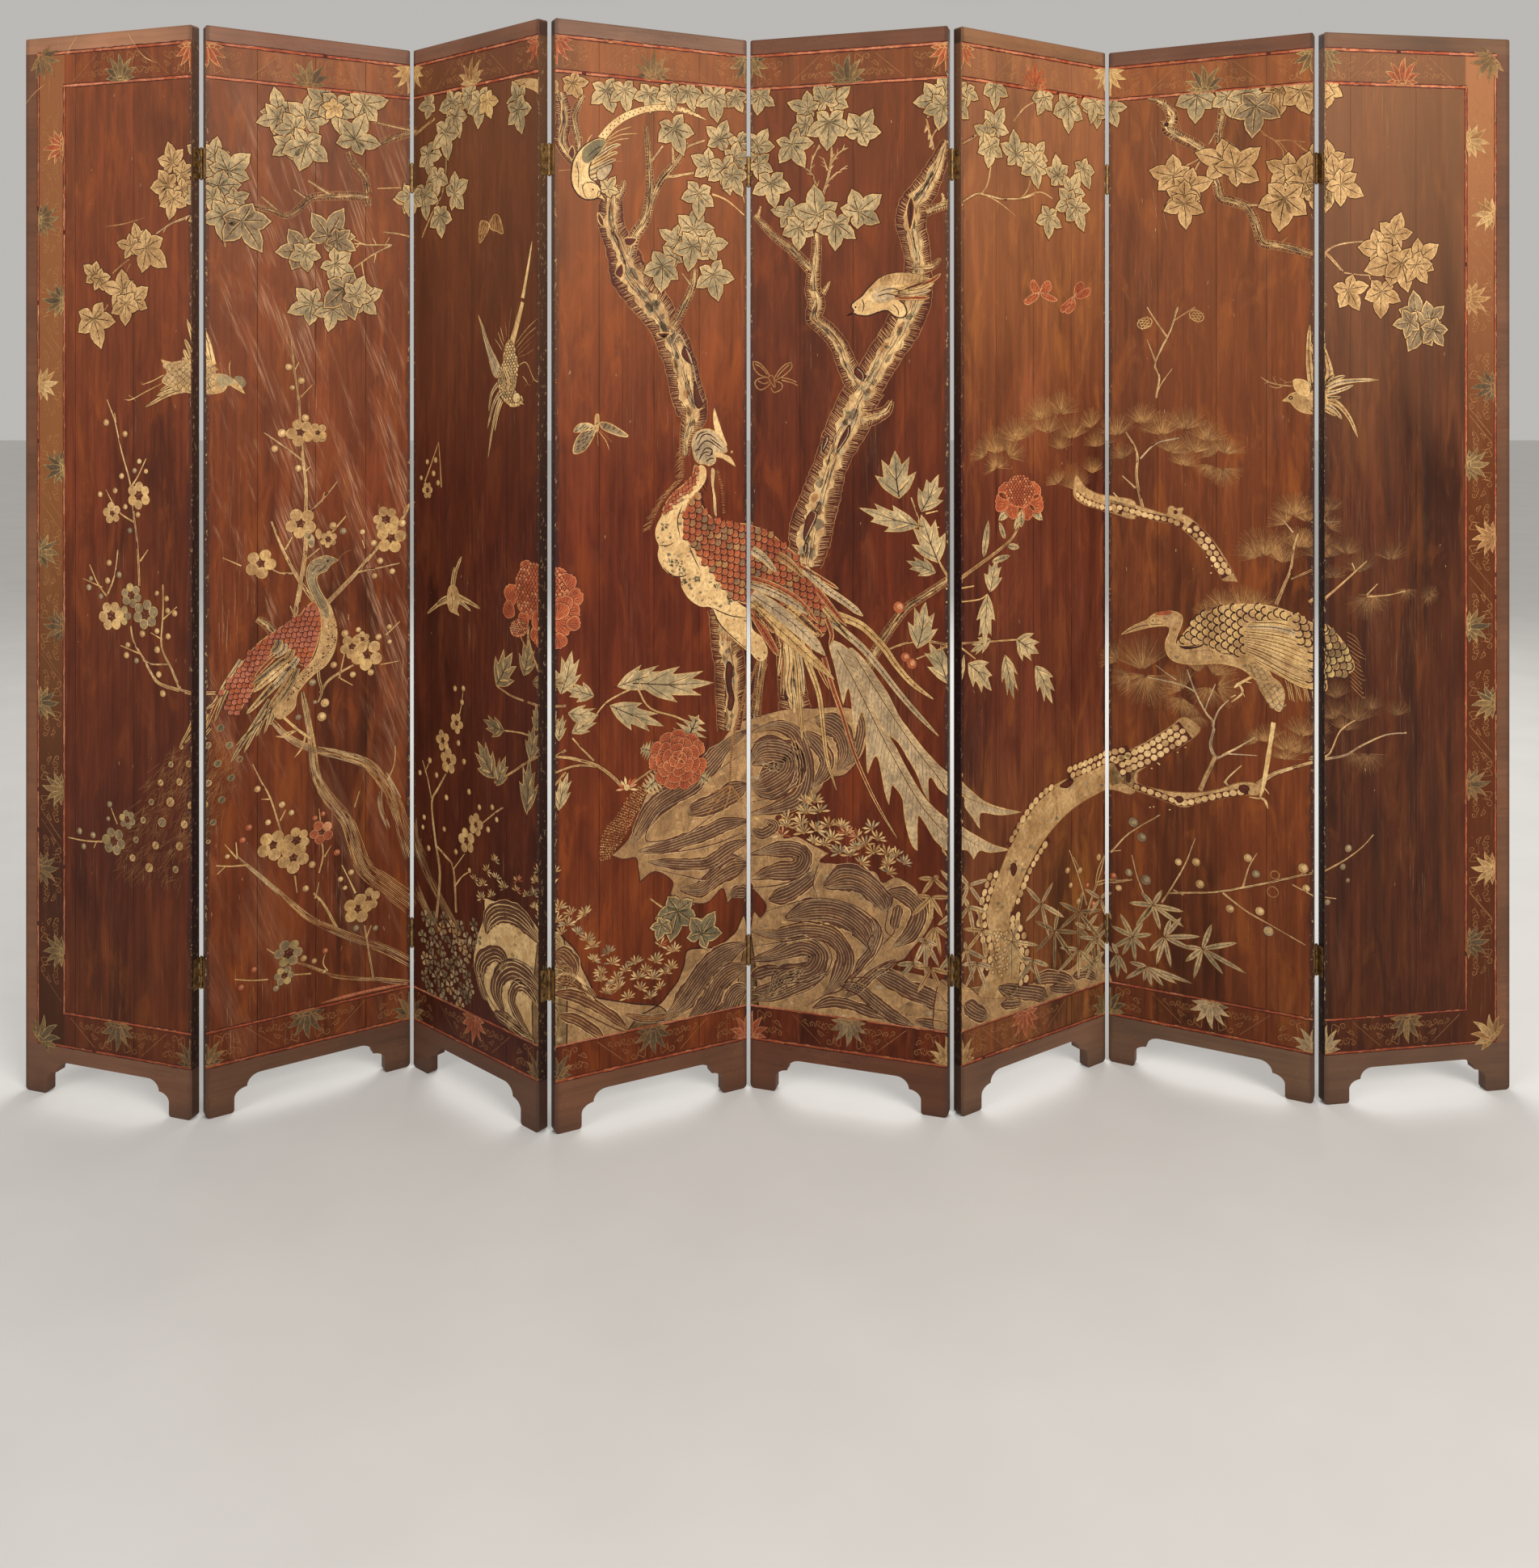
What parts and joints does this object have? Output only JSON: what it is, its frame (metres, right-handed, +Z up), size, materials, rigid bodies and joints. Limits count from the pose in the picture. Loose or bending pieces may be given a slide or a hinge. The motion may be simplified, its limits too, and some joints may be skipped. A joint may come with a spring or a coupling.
{
  "type": "folding screen",
  "caption": "Tall lacquered folding screen of upright hinged panels with gilt bird, rock and flower decoration, a banded border and bracket feet; it stands in a zigzag and folds flat.",
  "frame": {"origin": "on the floor, under the middle of the bounding box of the standing screen", "axes": "+X along the screen, to the right as seen from the front; +Y towards the back; +Z up"},
  "size_m": [3.0096, 0.3116, 2.13],
  "materials": {
    "lacquer": "streaky red-brown lacquer, worn satin",
    "rim": "dull brown lacquer, worn through at the edges",
    "bare_wood": "bare softwood",
    "brass": "aged, dull brass",
    "brass_screws": "aged, dull brass",
    "gilt": "worn gold and ochre paint",
    "pigment": "coral red and grey-green paint"
  },
  "bodies": {
    "panel_1": {"panel_1_boards": "lacquer", "panel_1_top_rail": "rim", "panel_1_apron": "rim", "panel_1_stile": "rim", "panel_1_dowels": "bare_wood", "panel_1_hinge_leaves": "brass", "panel_1_screws": "brass_screws", "hinge_pins_12": "brass"},
    "panel_2": {"panel_2_boards": "lacquer", "panel_2_top_rail": "rim", "panel_2_apron": "rim", "panel_2_dowels": "bare_wood", "panel_2_hinge_leaves": "brass", "panel_2_screws": "brass_screws", "hinge_pins_23": "brass"},
    "panel_3": {"panel_3_boards": "lacquer", "panel_3_top_rail": "rim", "panel_3_apron": "rim", "panel_3_dowels": "bare_wood", "panel_3_hinge_leaves": "brass", "panel_3_screws": "brass_screws", "hinge_pins_34": "brass"},
    "panel_4": {"panel_4_boards": "lacquer", "panel_4_top_rail": "rim", "panel_4_apron": "rim", "panel_4_dowels": "bare_wood", "panel_4_hinge_leaves": "brass", "panel_4_screws": "brass_screws", "hinge_pins_45": "brass"},
    "panel_5": {"panel_5_boards": "lacquer", "panel_5_top_rail": "rim", "panel_5_apron": "rim", "panel_5_dowels": "bare_wood", "panel_5_hinge_leaves": "brass", "panel_5_screws": "brass_screws", "hinge_pins_56": "brass"},
    "panel_6": {"panel_6_boards": "lacquer", "panel_6_top_rail": "rim", "panel_6_apron": "rim", "panel_6_dowels": "bare_wood", "panel_6_hinge_leaves": "brass", "panel_6_screws": "brass_screws", "hinge_pins_67": "brass"},
    "panel_7": {"panel_7_boards": "lacquer", "panel_7_top_rail": "rim", "panel_7_apron": "rim", "panel_7_dowels": "bare_wood", "panel_7_hinge_leaves": "brass", "panel_7_screws": "brass_screws", "hinge_pins_78": "brass"},
    "panel_8": {"panel_8_boards": "lacquer", "panel_8_top_rail": "rim", "panel_8_apron": "rim", "panel_8_stile": "rim", "panel_8_dowels": "bare_wood", "panel_8_hinge_leaves": "brass", "panel_8_screws": "brass_screws"}
  },
  "joints": [
    {"name": "fold_45", "type": "hinge", "parent": "panel_5", "child": "panel_4", "pos_m": [-0.039, 0.02491, 0.28], "axis": [0, 0, 1], "range_deg": [-43.9, 136.1]},
    {"name": "fold_34", "type": "hinge", "parent": "panel_4", "child": "panel_3", "pos_m": [-0.41887, -0.13655, 0.28], "axis": [0, 0, -1], "range_deg": [-67.5, 112.5]},
    {"name": "fold_23", "type": "hinge", "parent": "panel_3", "child": "panel_2", "pos_m": [-0.74621, 0.11488, 0.28], "axis": [0, 0, 1], "range_deg": [-73.2, 106.8]},
    {"name": "fold_12", "type": "hinge", "parent": "panel_2", "child": "panel_1", "pos_m": [-1.10817, -0.08351, 0.28], "axis": [0, 0, -1], "range_deg": [-49.8, 130.2]},
    {"name": "fold_56", "type": "hinge", "parent": "panel_5", "child": "panel_6", "pos_m": [0.36162, -0.07444, 0.28], "axis": [0, 0, 1], "range_deg": [-51.6, 128.4]},
    {"name": "fold_67", "type": "hinge", "parent": "panel_6", "child": "panel_7", "pos_m": [0.71643, 0.13646, 0.28], "axis": [0, 0, -1], "range_deg": [-60.3, 119.7]},
    {"name": "fold_78", "type": "hinge", "parent": "panel_7", "child": "panel_8", "pos_m": [1.09742, -0.02234, 0.28], "axis": [0, 0, 1], "range_deg": [-35, 145]}
  ]
}
